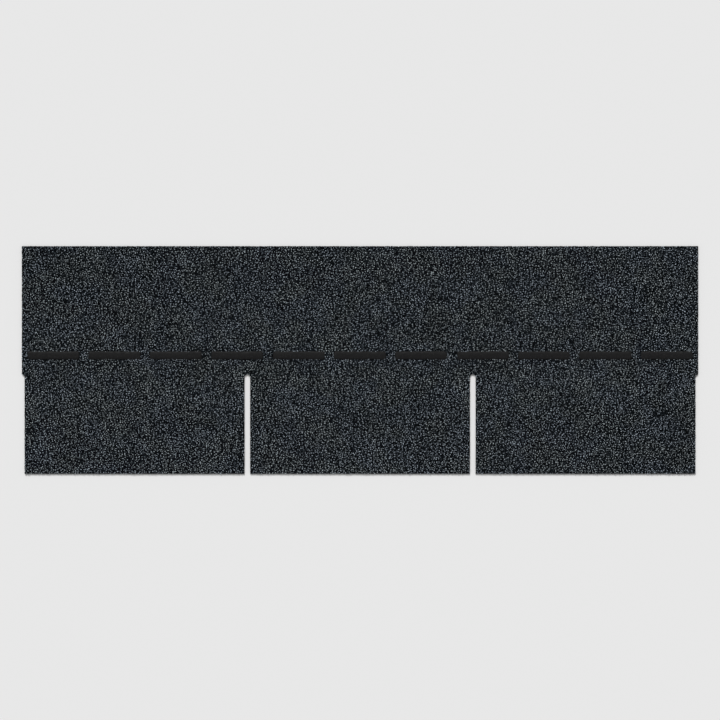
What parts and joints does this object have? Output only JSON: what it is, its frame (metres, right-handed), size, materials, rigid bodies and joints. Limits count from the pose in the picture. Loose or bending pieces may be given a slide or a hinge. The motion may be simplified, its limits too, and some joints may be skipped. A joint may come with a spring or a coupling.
{
  "type": "three-tab asphalt shingle",
  "caption": "Flat strip shingle of mineral-surfaced asphalt sheet, slotted from its lower edge into tabs, with a broken line of self-seal adhesive on the face and a film on the back.",
  "frame": {"origin": "under the middle of the sheet, at the level of its back", "axes": "+X along the strip, -Y towards the butt edge of the tabs, +Y towards the headlap edge, +Z out of the mineral face"},
  "size_m": [1, 0.337, 0.0038],
  "materials": {
    "granules": "charcoal ceramic-coated mineral granules pressed into asphalt, matte",
    "asphalt": "black asphalt coating at the cut edges and on the back, dusted with fine grey mineral",
    "adhesive": "black thermoplastic asphalt adhesive, satin",
    "film": "thin clear polyester film over black asphalt, glossy"
  },
  "bodies": {
    "root": {"shingle_sheet": "granules", "sealant_strip": "adhesive", "release_film": "film"}
  },
  "joints": []
}
